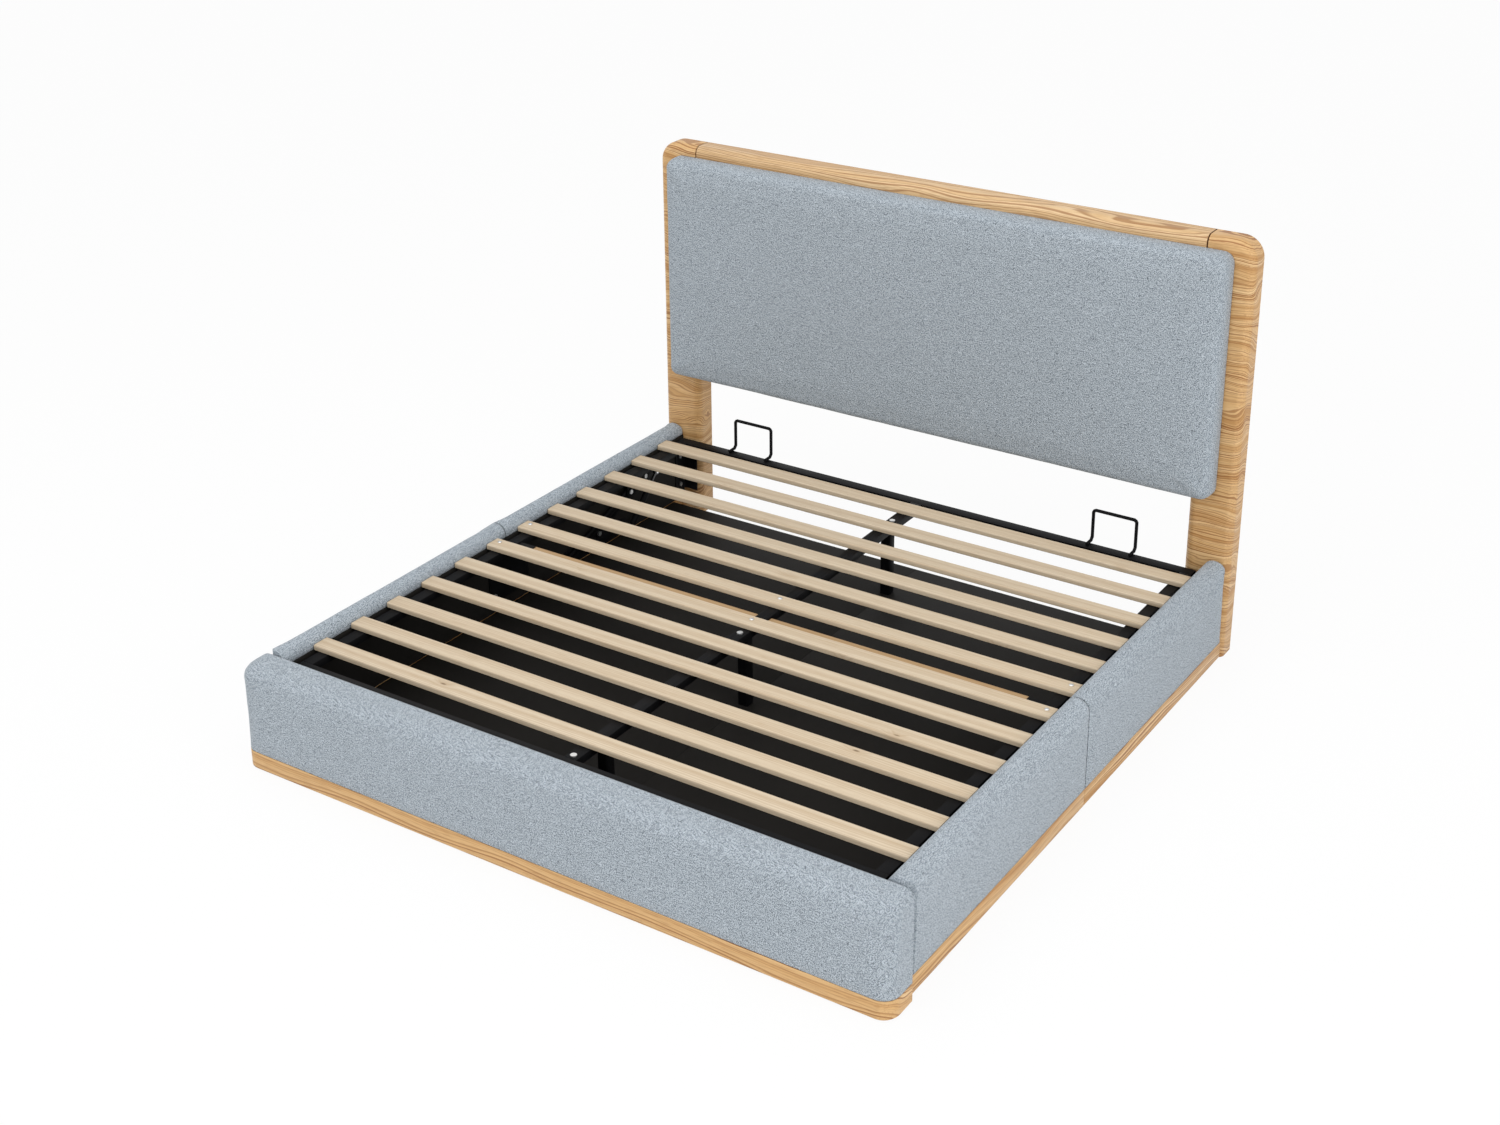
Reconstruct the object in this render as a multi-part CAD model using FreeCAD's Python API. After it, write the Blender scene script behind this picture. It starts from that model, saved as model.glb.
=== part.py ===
import FreeCAD
import Part
import math
import os

# Ottoman bed: an upholstered frame, an oak headboard and a slatted platform on a lift linkage.
# Lengths are millimetres. The origin is on the floor below the middle of the bed,
# +X points to the right side, +Y to the headboard and +Z up.

V = FreeCAD.Vector
X, Y, Z = V(1, 0, 0), V(0, 1, 0), V(0, 0, 1)

# Whole bed
overall_length = 2218.0
overall_height = 1391.0
bed_width = 2152.0
headboard_overhang = 6.0
footboard_overhang = 13.0

# Fits
seam_gap = 0.8
joint_gap = 0.4
rest_gap = 0.3
side_gap = 0.7
running_gap = 0.05
bolt_gap = 0.2
weld_gap = 0.05

# Headboard
post_width = 151.0
post_depth = 84.0
post_corner = 67.0
oak_edge = 26.0
oak_rear_edge = 12.0
top_rail_height = 110.0
joint_groove = 2.8
joint_groove_depth = 6.0
lower_rail_height = 90.0
lower_rail_depth = 40.0
lower_rail_rise = 31.0
pad_inset = 63.0
pad_bottom = 553.0
pad_top_gap = 38.0
pad_depth = 72.0
pad_corner = 34.0
pad_edge = 25.0
panel_depth = 12.0
panel_margin = 14.0

# Side rails and footboard
rail_thickness = 71.0
rail_top = 345.0
rail_nose = 35.0
rail_end_round = 20.0
core_thickness = 48.0
core_top = 300.0
plinth_height = 59.0
plinth_depth = 58.0
plinth_edge = 6.0
footboard_depth = 108.0
footboard_drop = 9.0
footboard_corner = 48.0
footboard_edge = 41.0
footboard_inner_edge = 9.5
footboard_core_depth = 56.0

# Steel plates, angles and bolts of the frame
plate = 4.0
bracket_leg = 58.0
bracket_bottom = 92.0
bracket_top = 250.0
bracket_bend = 3.0
joint_plate_length = 200.0
joint_plate_bottom = 96.0
joint_plate_top = 246.0
plate_corner = 12.0
bolt_margin = 24.0
bolt_radius = 4.0
bolt_length = 18.0
bolt_head_radius = 8.0
bolt_head_height = 4.0
tube_bolt_head_radius = 9.5
head_sides = 6
neck_sides = 4

# Storage floor
floor_top = 49.0
floor_panel = 9.0
floor_rear_back = 57.0
floor_side_gap = 3.0
floor_joint = 0.6
ledge_width = 32.0
ledge_height = 26.0
bearer_width = 60.0

# Platform frame: depths named back are measured from the front of the posts
deck_gap = 3.0
slat_count = 12
slat_width = 58.0
slat_thickness = 18.0
slat_top = 319.0
slat_edge = 5.0
slat_under_edge = 2.0
slat_first_back = 108.0
slat_last_gap = 122.0
tube_depth = 25.0
tube_wall = 2.0
side_tube_width = 38.0
centre_tube_width = 40.0
head_tube_width = 40.0
head_tube_back = 26.0
foot_tube_width = 38.0
foot_tube_gap = 20.0
batten_width = 46.0
batten_depth = 20.0
batten_drop = 7.0
batten_offset = 11.0
batten_end_gap = 38.0
batten_bracket = 3.0
batten_bracket_reach = 60.0
batten_bracket_width = 36.0
leg_size = 35.0
leg_wall = 2.0
leg_edge = 3.0
leg_shares = [0.101, 0.5526, 0.9185]
tube_bolt_shares = [0.0857, 0.5668, 0.9921]
screw_back = 23.0
screw_inset = 30.0
screw_radius = 2.2
screw_head_radius = 7.0
screw_head_height = 1.8
screw_sides = 12

# Wire loops that hold the mattress at the head end
stop_share = 0.7055
stop_width = 150.0
stop_top = 412.0
stop_kink = 316.0
stop_back = 9.0
stop_foot_back = 51.0
stop_bend_back = 18.0
wire_radius = 5.5
wire_bend = 11.0
wire_bend_steps = 3
wire_sides = 12

# Lift linkage: pivots as distance in front of the posts and height above the floor
lift_base_back, lift_base_rise = 531.0, 120.0
lift_end_back, lift_end_rise = 268.0, 242.0
stay_base_back, stay_base_rise = 715.0, 91.0
stay_end_back, stay_end_rise = 357.0, 215.0
strut_base_back, strut_base_rise = 390.0, 88.0
strut_end_back, strut_end_rise = 226.0, 250.0
arm_thickness = 5.0
arm_half_width = 15.0
pivot_radius = 5.0
pivot_head_radius = 9.0
pivot_head_height = 4.0
pivot_collar = 2.5
pivot_collar_radius = 8.0
slot_reach = 11.0
slot_half_height = 7.6
base_plate_margin = 24.0
base_plate_shoulder = 30.0
base_plate_round = 14.0
lift_plate_margin = 19.0
lift_plate_round = 10.0
lift_plate_drop = 2.0

# Gas struts
strut_offset = 18.0
strut_radius = 11.0
strut_neck_radius = 4.8
strut_eye_radius = 11.0
strut_eye_thickness = 10.0
strut_body_start = 17.0
strut_body_length = 150.0
strut_floor = 25.0
rod_radius = 5.0
rod_foot_gap = 12.0
rod_eye_radius = 12.5
stud_radius = 4.0
rod_eye_gap = 4.2

# Derived planes
foot_front = -overall_length / 2
head_back = overall_length / 2
post_front = head_back - post_depth
foot_back = foot_front + footboard_depth
foot_top = rail_top - footboard_drop
rail_out = bed_width / 2
rail_in = rail_out - rail_thickness
core_out = rail_in + core_thickness
post_out = rail_out + headboard_overhang
post_in = post_out - post_width
pad_half = post_out - pad_inset
pad_top = overall_height - pad_top_gap
foot_half = rail_out + footboard_overhang
rail_middle = (foot_back + post_front) / 2
tube_top = slat_top - slat_thickness
tube_bottom = tube_top - tube_depth
plate_in = rail_in - plate
lift_arm_out = plate_in - side_gap
lift_arm_in = lift_arm_out - arm_thickness
stay_arm_out = lift_arm_in - side_gap
stay_arm_in = stay_arm_out - arm_thickness
lift_plate_out = stay_arm_in - side_gap
tube_out = lift_plate_out - plate
tube_in = tube_out - side_tube_width
strut_middle = tube_out - strut_offset
head_tube_rear = post_front - head_tube_back
head_tube_front = head_tube_rear - head_tube_width
foot_tube_front = foot_back + foot_tube_gap
foot_tube_rear = foot_tube_front + foot_tube_width
slat_half = rail_in - deck_gap
slat_first = post_front - slat_first_back
slat_pitch = (slat_first - slat_width - foot_back - slat_last_gap) / (slat_count - 1)
batten_middle = rail_middle - batten_offset
batten_top = tube_top - batten_drop
floor_bottom = floor_top - floor_panel


def box(x0, x1, y0, y1, z0, z1):
    """A block between two opposite corners."""
    return Part.makeBox(x1 - x0, y1 - y0, z1 - z0, V(x0, y0, z0))


def mirrored(shape):
    """The same piece on the other side of the bed."""
    return shape.mirror(V(0, 0, 0), X)


def pair(shape):
    """The piece and its mirror image as one group."""
    return Part.makeCompound([mirrored(shape), shape])


def rounded_outline(points, radii):
    """Closed straight runs through the points, with an arc at each corner that has a radius."""
    spans = []
    for i, point in enumerate(points):
        if radii[i] == 0:
            spans.append((point, None, point))
            continue
        back = (points[i - 1] - point).normalize()
        ahead = (points[(i + 1) % len(points)] - point).normalize()
        half = back.getAngle(ahead) / 2
        inward = (back + ahead).normalize()
        reach = radii[i] / math.tan(half)
        rise = radii[i] / math.sin(half) - radii[i]
        spans.append((point + back * reach, point + inward * rise, point + ahead * reach))
    edges = []
    for i, (start, middle, end) in enumerate(spans):
        if middle is not None:
            edges.append(Part.Arc(start, middle, end).toShape())
        edges.append(Part.makeLine(end, spans[(i + 1) % len(spans)][0]))
    return Part.Wire(edges)


def prism(points, radii, depth):
    """A flat outline with rounded corners, drawn out along a direction."""
    return Part.Face(rounded_outline(points, radii)).extrude(depth)


def side_prism(outline, radii, x0, x1):
    """A prism along X from an outline of depth and height."""
    return prism([V(x0, y, z) for y, z in outline], radii, X * (x1 - x0))


def edges_where(shape, test):
    """Edges whose middle passes a test."""
    return [edge for edge in shape.Edges if test(edge.CenterOfMass)]


def near(value, target):
    """Whether two positions are the same plane."""
    return abs(value - target) < weld_gap


def drill(shape, radius, start, end):
    """The shape with a round hole between two points."""
    return shape.cut(Part.makeCylinder(radius, (end - start).Length, start, end - start))


def ring(seat, direction, radius, sides):
    """Closed outline with flat sides about a seat, square to a direction."""
    across = direction.cross(V(direction.z, direction.x, direction.y))
    turns = [FreeCAD.Rotation(direction, 360 * i / sides) for i in range(sides + 1)]
    return Part.makePolygon([seat + turn.multVec(across) * radius for turn in turns])


def bar(seat, direction, radius, length, sides):
    """A bar with flat sides that runs along a direction from the seat."""
    return Part.Face(ring(seat, direction, radius, sides)).extrude(direction * length)


def pivot_bolt(seat, direction, radius, length, head_radius, head_height):
    """A hexagon bolt whose head stands on the seat and whose round shank runs along the direction."""
    head = bar(seat, direction * -1, head_radius, head_height, head_sides)
    return head.fuse(Part.makeCylinder(radius, length, seat, direction)).removeSplitter()


def neck_bolt(seat, direction, length):
    """A hexagon bolt whose square neck runs along the direction."""
    head = bar(seat, direction * -1, bolt_head_radius, bolt_head_height, head_sides)
    return head.fuse(bar(seat, direction, bolt_radius, length, neck_sides)).removeSplitter()


def neck_hole(seat, direction, length):
    """The square hole that takes the neck of a bolt."""
    return bar(seat, direction, bolt_radius + bolt_gap, length, neck_sides)


def corner_cutter(corner, along, first, second, radius):
    """What is cut away to round a straight edge with a radius."""
    block = Part.Face(Part.makePolygon([
        corner, corner + first * radius, corner + (first + second) * radius,
        corner + second * radius, corner])).extrude(along)
    return block.cut(Part.makeCylinder(radius, along.Length, corner + (first + second) * radius, along))


def headboard_post():
    """Right post with a large round outer corner at the top."""
    points = [V(post_in, post_front, 0), V(post_out, post_front, 0),
              V(post_out, post_front, overall_height), V(post_in, post_front, overall_height)]
    post = prism(points, [0, 0, post_corner, 0], Y * post_depth)
    height = Z * (overall_height - top_rail_height)
    for face, inward, radius in [(post_front, Y, oak_edge), (head_back, Y * -1, oak_rear_edge)]:
        outer = edges_where(post, lambda c: near(c.y, face) and not near(c.x, post_in) and not near(c.z, 0))
        post = post.makeFillet(radius, outer)
        post = post.cut(corner_cutter(V(post_in, face, 0), height, X, inward, radius))
    return post


def top_rail_bar(end, inset):
    """Bar of the top rail to a distance each side, set in from its faces."""
    top = overall_height - inset
    rail = box(-end, end, post_front + inset, head_back - inset, overall_height - top_rail_height, top)
    for face, radius in [(post_front + inset, oak_edge), (head_back - inset, oak_rear_edge)]:
        upper = edges_where(rail, lambda c: near(c.z, top) and near(c.y, face) and near(c.x, 0))
        rail = rail.makeFillet(radius - inset, upper)
    return rail


def headboard_top_rail():
    """Oak rail between the posts, rounded like them along the top, with a groove at each joint."""
    end = post_in - joint_gap
    core = top_rail_bar(end, joint_groove_depth)
    return top_rail_bar(end - joint_groove, 0).fuse(core).removeSplitter()


def headboard_lower_rail():
    """Cross rail behind the lower part of the pad."""
    bottom = pad_bottom + lower_rail_rise
    return box(-post_in, post_in, post_front, post_front + lower_rail_depth,
               bottom, bottom + lower_rail_height)


def headboard_panel():
    """Board that carries the pad on the front of the posts."""
    half = pad_half - panel_margin
    return box(-half, half, post_front - panel_depth, post_front,
               pad_bottom + panel_margin, pad_top - panel_margin)


def headboard_pad():
    """Upholstered pad with round corners and a deep round front edge."""
    points = [V(-pad_half, post_front, pad_bottom), V(pad_half, post_front, pad_bottom),
              V(pad_half, post_front, pad_top), V(-pad_half, post_front, pad_top)]
    pad = prism(points, [pad_corner] * len(points), Y * -pad_depth)
    front = edges_where(pad, lambda c: near(c.y, post_front - pad_depth))
    return pad.makeFillet(pad_edge, front).cut(headboard_panel())


def footboard_outline(height):
    """Plan of the footboard with round front corners, drawn up to a height."""
    points = [V(-foot_half, foot_back, 0), V(-foot_half, foot_front, 0),
              V(foot_half, foot_front, 0), V(foot_half, foot_back, 0)]
    return prism(points, [0, footboard_corner, footboard_corner, 0], Z * height)


def footboard_core():
    """Board inside the footboard, flush with its inner face."""
    return box(-rail_in, rail_in, foot_back - footboard_core_depth, foot_back, plinth_height, core_top)


def footboard_pad():
    """Upholstery over the front, the top and the ends of the footboard."""
    pad = footboard_outline(foot_top)
    top = edges_where(pad, lambda c: near(c.z, foot_top) and not near(c.y, foot_back))
    pad = pad.makeFillet(footboard_edge, top)
    start = V(-foot_half, foot_back, foot_top)
    pad = pad.cut(corner_cutter(start, X * foot_half * 2, Y * -1, Z * -1, footboard_inner_edge))
    below = box(-foot_half, foot_half, foot_front, foot_back, 0, plinth_height)
    return pad.cut(below).cut(footboard_core())


def footboard_plinth():
    """Oak base below the footboard, with the same outline."""
    plinth = footboard_outline(plinth_height)
    bottom = edges_where(plinth, lambda c: near(c.z, 0) and not near(c.y, foot_back))
    return plinth.makeChamfer(plinth_edge, bottom)


def rail_span(half):
    """Front and rear end of one half of a side rail."""
    if half == "front":
        return foot_back + joint_gap, rail_middle - seam_gap / 2
    return rail_middle + seam_gap / 2, post_front - joint_gap


def rail_core(half):
    """Board inside half of the right rail, lined black on the storage side."""
    start, end = rail_span(half)
    return box(rail_in, core_out, start, end, plinth_height, core_top)


def rail_pad(half):
    """Upholstery over the outside and the round top of half of the right rail."""
    start, end = rail_span(half)
    section = [V(rail_in, start, core_top), V(core_out, start, core_top), V(core_out, start, plinth_height),
               V(rail_out, start, plinth_height), V(rail_out, start, rail_top), V(rail_in, start, rail_top)]
    pad = prism(section, [0, 0, 0, 0, rail_nose, rail_nose], Y * (end - start))
    if half == "front":
        return pad
    side = [(start, plinth_height), (end, plinth_height), (end, rail_top), (start, rail_top)]
    return pad.common(side_prism(side, [0, 0, rail_end_round, 0], rail_in, rail_out))


def rail_plinth(half):
    """Oak base below half of the right rail."""
    start, end = rail_span(half)
    plinth = box(rail_out - plinth_depth, rail_out, start, end, 0, plinth_height)
    bottom = edges_where(plinth, lambda c: near(c.x, rail_out) and near(c.z, 0))
    return plinth.makeChamfer(plinth_edge, bottom)


def joint_bolt_seats():
    """Bolt seats on the plate that joins the halves of the right rail."""
    reach = joint_plate_length / 2 - bolt_margin
    return [V(plate_in, rail_middle + reach * side, z) for side in (-1, 1)
            for z in (joint_plate_bottom + bolt_margin, joint_plate_top - bolt_margin)]


def rail_joint_plate():
    """Steel plate over the joint of the right rail."""
    start, end = rail_middle - joint_plate_length / 2, rail_middle + joint_plate_length / 2
    outline = [(start, joint_plate_bottom), (end, joint_plate_bottom),
               (end, joint_plate_top), (start, joint_plate_top)]
    shape = side_prism(outline, [plate_corner] * len(outline), plate_in, rail_in)
    for seat in joint_bolt_seats():
        shape = shape.cut(neck_hole(seat, X, plate))
    return shape


def corner_bolts(wall, inward):
    """Seats and directions of the bolts of a right-hand corner angle; inward points into the bed."""
    middle = plate + (bracket_leg - plate) / 2
    on_rail = V(plate_in, wall, bracket_bottom + bolt_margin) + inward * middle
    on_wall = V(rail_in - middle, wall, bracket_top - bolt_margin) + inward * plate
    return [(on_rail, X), (on_rail + Z * (bracket_top - bracket_bottom - bolt_margin * 2), X),
            (on_wall, inward * -1)]


def corner_bracket(wall, inward):
    """Steel angle between the right rail and the board or post at a wall plane."""
    corner = V(rail_in, wall, bracket_bottom)
    end = corner - X * bracket_leg
    points = [corner, corner + inward * bracket_leg, corner + inward * bracket_leg - X * plate,
              corner + inward * plate - X * plate, end + inward * plate, end]
    shape = prism(points, [0, 0, 0, bracket_bend, 0, 0], Z * (bracket_top - bracket_bottom))
    for seat, direction in corner_bolts(wall, inward):
        shape = shape.cut(neck_hole(seat, direction, plate))
    return shape


def pivot(back, rise, x):
    """A linkage pivot from its distance in front of the posts and its height."""
    return V(x, post_front - back, rise)


def base_plate_bolt_seats():
    """Seats of the bolts that hold the lift base plate on the right rail."""
    gap = (stay_base_back - lift_base_back) / 2
    rise = stay_base_rise + (lift_base_rise - stay_base_rise) / 2
    first = pivot(lift_base_back + gap, rise, plate_in)
    second = pivot((lift_base_back + strut_base_back) / 2, rise, plate_in)
    return [first, second]


def bolt_places():
    """Seat and direction of every bolt that enters the right half of the frame."""
    places = [(seat, X) for seat in joint_bolt_seats() + base_plate_bolt_seats()]
    return places + corner_bolts(post_front, Y * -1) + corner_bolts(foot_back, Y)


def drilled(shape):
    """A board or post of the right half with the holes of the bolts that reach it."""
    for seat, direction in bolt_places():
        hole = neck_hole(seat, direction, bolt_length + bolt_gap)
        if shape.BoundBox.intersect(hole.BoundBox):
            shape = shape.cut(hole)
    return shape


def frame_bolts():
    """Bolts of the joint plates, corner angles and lift base plates, on both sides."""
    bolts = [neck_bolt(seat, direction, bolt_length) for seat, direction in bolt_places()]
    return Part.makeCompound(bolts + [mirrored(bolt) for bolt in bolts])


def storage_floor():
    """Two floor panels that meet under the middle legs."""
    rear = post_front - floor_rear_back
    right = box(floor_joint / 2, rail_out - plinth_depth - floor_side_gap,
                foot_back + floor_side_gap, rear, floor_bottom, floor_top)
    return pair(right)


def floor_bearers():
    """Ledges along the plinths and a bearer under the joint of the floor panels."""
    start, end = foot_back + joint_gap, post_front - floor_rear_back
    wall = rail_out - plinth_depth
    ledge = box(wall - ledge_width, wall, start, end, floor_bottom - ledge_height, floor_bottom)
    bearer = box(-bearer_width / 2, bearer_width / 2, start, end, 0, floor_bottom)
    return Part.makeCompound([mirrored(ledge), ledge, bearer])


def lift_base_plate():
    """Plate on the right rail that carries the fixed pivots of the linkage."""
    stay = pivot(stay_base_back, stay_base_rise, 0)
    lift = pivot(lift_base_back, lift_base_rise, 0)
    strut = pivot(strut_base_back, strut_base_rise, 0)
    front, rear = stay.y - base_plate_margin, strut.y + base_plate_margin
    bottom = strut.z - base_plate_margin
    outline = [(front, bottom), (rear, bottom), (rear, strut.z + base_plate_margin),
               (lift.y + base_plate_shoulder, lift.z + base_plate_shoulder),
               (lift.y - base_plate_shoulder, lift.z + base_plate_shoulder),
               (front, stay.z + base_plate_margin)]
    shape = side_prism(outline, [base_plate_round] * len(outline), plate_in, rail_in)
    for point in (stay, lift):
        shape = drill(shape, pivot_radius + running_gap, point + X * plate_in, point + X * rail_in)
    shape = drill(shape, stud_radius + running_gap, strut + X * plate_in, strut + X * rail_in)
    for seat in base_plate_bolt_seats():
        shape = shape.cut(neck_hole(seat, X, plate))
    return shape


def base_pivot_bolts():
    """Fixed pivots: one bolt for each arm and one stud for the strut, on both sides."""
    lift = pivot_bolt(pivot(lift_base_back, lift_base_rise, lift_arm_in - running_gap), X, pivot_radius,
                      rail_in - lift_arm_in + running_gap, pivot_head_radius, pivot_head_height)
    stay = pivot_bolt(pivot(stay_base_back, stay_base_rise, stay_arm_in - running_gap), X, pivot_radius,
                      rail_in - stay_arm_in + running_gap, pivot_head_radius, pivot_head_height)
    eye = strut_middle - strut_eye_thickness / 2 - running_gap
    strut = pivot_bolt(pivot(strut_base_back, strut_base_rise, eye), X, stud_radius,
                       rail_in - eye, pivot_collar_radius, pivot_collar)
    return Part.makeCompound([lift, stay, strut] + [mirrored(pin) for pin in (lift, stay, strut)])


def arm(start, end, x0, x1):
    """Flat bar with a round eye at both pivots."""
    along = (end - start).normalize()
    across = X.cross(along) * arm_half_width
    along = along * arm_half_width
    outline = Part.Wire([
        Part.makeLine(start - across, end - across),
        Part.Arc(end - across, end + along, end + across).toShape(),
        Part.makeLine(end + across, start + across),
        Part.Arc(start + across, start - along, start - across).toShape()])
    bar = Part.Face(outline).extrude(X * (x1 - x0))
    bar.translate(X * x0)
    for point in (start, end):
        bar = drill(bar, pivot_radius + running_gap, point + X * x0, point + X * x1)
    return bar


def lift_arm():
    """Rear arm of the right linkage, from the base plate to the platform."""
    return arm(pivot(lift_base_back, lift_base_rise, 0), pivot(lift_end_back, lift_end_rise, 0),
               lift_arm_in, lift_arm_out)


def stay_arm():
    """Front arm of the right linkage, which turns the platform as it rises."""
    return arm(pivot(stay_base_back, stay_base_rise, 0), pivot(stay_end_back, stay_end_rise, 0),
               stay_arm_in, stay_arm_out)


def stay_arm_pin():
    """Pin of the right stay arm that rides in the slot of the platform bracket."""
    seat = tube_out - side_gap
    return pivot_bolt(pivot(stay_end_back, stay_end_rise, seat), X, pivot_radius, stay_arm_out - seat,
                      pivot_head_radius, pivot_head_height)


def lift_plate():
    """Bracket below the right side tube with the platform ends of the linkage."""
    stay = pivot(stay_end_back, stay_end_rise, 0)
    lift = pivot(lift_end_back, lift_end_rise, 0)
    strut = pivot(strut_end_back, strut_end_rise, 0)
    top = tube_top - lift_plate_drop
    front = stay.y - lift_plate_margin
    rear = strut.y + lift_plate_margin
    low = stay.z - lift_plate_margin
    outline = [(front, low), (stay.y + lift_plate_margin, low), (lift.y, lift.z - lift_plate_margin),
               (rear, strut.z - lift_plate_margin), (rear, top), (front, top)]
    shape = side_prism(outline, [lift_plate_round] * 4 + [0, 0], tube_out, lift_plate_out)
    shape = drill(shape, pivot_radius + running_gap, lift + X * tube_out, lift + X * lift_plate_out)
    shape = drill(shape, stud_radius + running_gap, strut + X * tube_out, strut + X * lift_plate_out)
    slot_end = stay + Y * slot_reach
    for point in (stay, slot_end):
        shape = drill(shape, slot_half_height, point + X * tube_out, point + X * lift_plate_out)
    return shape.cut(box(tube_out, lift_plate_out, stay.y, slot_end.y,
                         stay.z - slot_half_height, stay.z + slot_half_height))


def platform_pivot_bolts():
    """Platform pivots: a bolt for the lift arm and a stud for the strut, on both sides."""
    lift = pivot_bolt(pivot(lift_end_back, lift_end_rise, tube_out - running_gap), X, pivot_radius,
                      lift_arm_out - tube_out + running_gap, pivot_head_radius, pivot_head_height)
    eye = strut_middle - strut_eye_thickness / 2 - running_gap
    strut = pivot_bolt(pivot(strut_end_back, strut_end_rise, eye), X, stud_radius,
                       lift_plate_out - eye, pivot_collar_radius, pivot_collar)
    return Part.makeCompound([lift, strut] + [mirrored(pin) for pin in (lift, strut)])


strut_foot = pivot(strut_base_back, strut_base_rise, strut_middle)
strut_head = pivot(strut_end_back, strut_end_rise, strut_middle)
strut_axis = (strut_head - strut_foot).normalize()


def eye_disc(centre, radius, half_thickness):
    """Round disc across the bed at a strut end."""
    return Part.makeCylinder(radius, half_thickness * 2, centre - X * half_thickness, X)


def strut_cylinder():
    """Cylinder of the right gas strut with its lower eye."""
    start = strut_foot + strut_axis * strut_body_start
    end = start + strut_axis * strut_body_length
    body = Part.makeCylinder(strut_radius, strut_body_length, start, strut_axis)
    neck = bar(strut_foot, strut_axis, strut_neck_radius, strut_body_start + strut_neck_radius, neck_sides)
    eye = eye_disc(strut_foot, strut_eye_radius, strut_eye_thickness / 2)
    shape = body.fuse([neck, eye]).removeSplitter()
    shape = shape.cut(eye_disc(strut_foot, stud_radius + running_gap, strut_eye_thickness / 2))
    return drill(shape, rod_radius + running_gap, start + strut_axis * strut_floor, end)


def strut_rod():
    """Piston rod of the right gas strut with its open upper eye."""
    start = strut_foot + strut_axis * (strut_body_start + strut_floor + rod_foot_gap)
    rod = Part.makeCylinder(rod_radius, (strut_head - start).Length, start, strut_axis)
    rod = rod.fuse(eye_disc(strut_head, rod_eye_radius, strut_eye_thickness / 2)).removeSplitter()
    return rod.cut(eye_disc(strut_head, stud_radius + rod_eye_gap, strut_eye_thickness / 2))


def tube_along(x0, x1, y0, y1, along_x):
    """Rectangular steel tube of the platform frame, open at its ends."""
    outer = box(x0, x1, y0, y1, tube_bottom, tube_top)
    bottom, top = tube_bottom + tube_wall, tube_top - tube_wall
    if along_x:
        return outer.cut(box(x0, x1, y0 + tube_wall, y1 - tube_wall, bottom, top))
    return outer.cut(box(x0 + tube_wall, x1 - tube_wall, y0, y1, bottom, top))


def cross_batten():
    """Wooden batten from the centre tube towards the right side tube."""
    half = batten_width / 2
    return box(centre_tube_width / 2, tube_in - batten_end_gap, batten_middle - half, batten_middle + half,
               batten_top - batten_depth, batten_top)


def batten_end_bracket():
    """Angle that hangs the right batten on the side tube."""
    half = batten_bracket_width / 2
    start, end = batten_middle - half, batten_middle + half
    flat = box(tube_in - batten_bracket_reach, tube_in, start, end, batten_top, batten_top + batten_bracket)
    upright = box(tube_in - batten_bracket, tube_in, start, end, tube_bottom, batten_top)
    return flat.fuse(upright).removeSplitter()


def along_centre(share):
    """A place along the centre tube, as a share of its length from the head end."""
    return head_tube_front + (foot_tube_rear - head_tube_front) * share


def centre_leg(share):
    """Square tube leg under the centre tube, standing just above the storage floor."""
    half, middle = leg_size / 2, along_centre(share)
    bottom = floor_top + rest_gap
    leg = box(-half, half, middle - half, middle + half, bottom, tube_bottom)
    upright = edges_where(leg, lambda c: near(abs(c.x), half) and near(abs(c.y - middle), half))
    leg = leg.makeChamfer(leg_edge, upright)
    inner = half - leg_wall
    return leg.cut(box(-inner, inner, middle - inner, middle + inner, bottom, tube_bottom))


def tube_bolt(share):
    """Bolt with a wide low head and its neck in the top wall of the centre tube."""
    seat = V(0, along_centre(share), tube_top)
    head = bar(seat, Z, tube_bolt_head_radius, bolt_head_height, screw_sides)
    return head.fuse(bar(seat, Z * -1, bolt_radius, tube_wall, neck_sides)).removeSplitter()


def centre_tube():
    """Middle tube of the platform frame with the holes of its bolts."""
    half = centre_tube_width / 2
    tube = tube_along(-half, half, foot_tube_rear, head_tube_front, False)
    for share in tube_bolt_shares:
        tube = tube.cut(neck_hole(V(0, along_centre(share), tube_top), Z * -1, tube_wall))
    return tube


def slat_rear(index):
    """Rear edge of a slat, counted from the headboard."""
    return slat_first - slat_pitch * index


def screw_seats(index):
    """Seats of the screws on a slat, if it lies next to the joint of the side rails."""
    if abs(slat_rear(index) - slat_width / 2 - rail_middle) > slat_pitch:
        return []
    edge = tube_in + screw_inset
    return [V(x, slat_rear(index) - screw_back, slat_top) for x in (-edge, 0, edge)]


def slat(index):
    """Wooden slat with rounded upper edges and chamfered lower ones."""
    rear = slat_rear(index)
    shape = box(-slat_half, slat_half, rear - slat_width, rear, tube_top, slat_top)
    shape = shape.makeFillet(slat_edge, edges_where(shape, lambda c: near(c.x, 0) and near(c.z, slat_top)))
    lower = edges_where(shape, lambda c: near(c.x, 0) and near(c.z, tube_top))
    shape = shape.makeChamfer(slat_under_edge, lower)
    for seat in screw_seats(index):
        shape = shape.cut(bar(seat, Z * -1, screw_radius + bolt_gap, slat_thickness, neck_sides))
    return shape


def slat_screws():
    """Screws of the slats at the joint of the side rails."""
    screws = []
    for index in range(slat_count):
        for seat in screw_seats(index):
            head = bar(seat, Z, screw_head_radius, screw_head_height, screw_sides)
            shank = bar(seat, Z * -1, screw_radius, slat_thickness, neck_sides)
            screws.append(head.fuse(shank).removeSplitter())
    return Part.makeCompound(screws)


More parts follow.
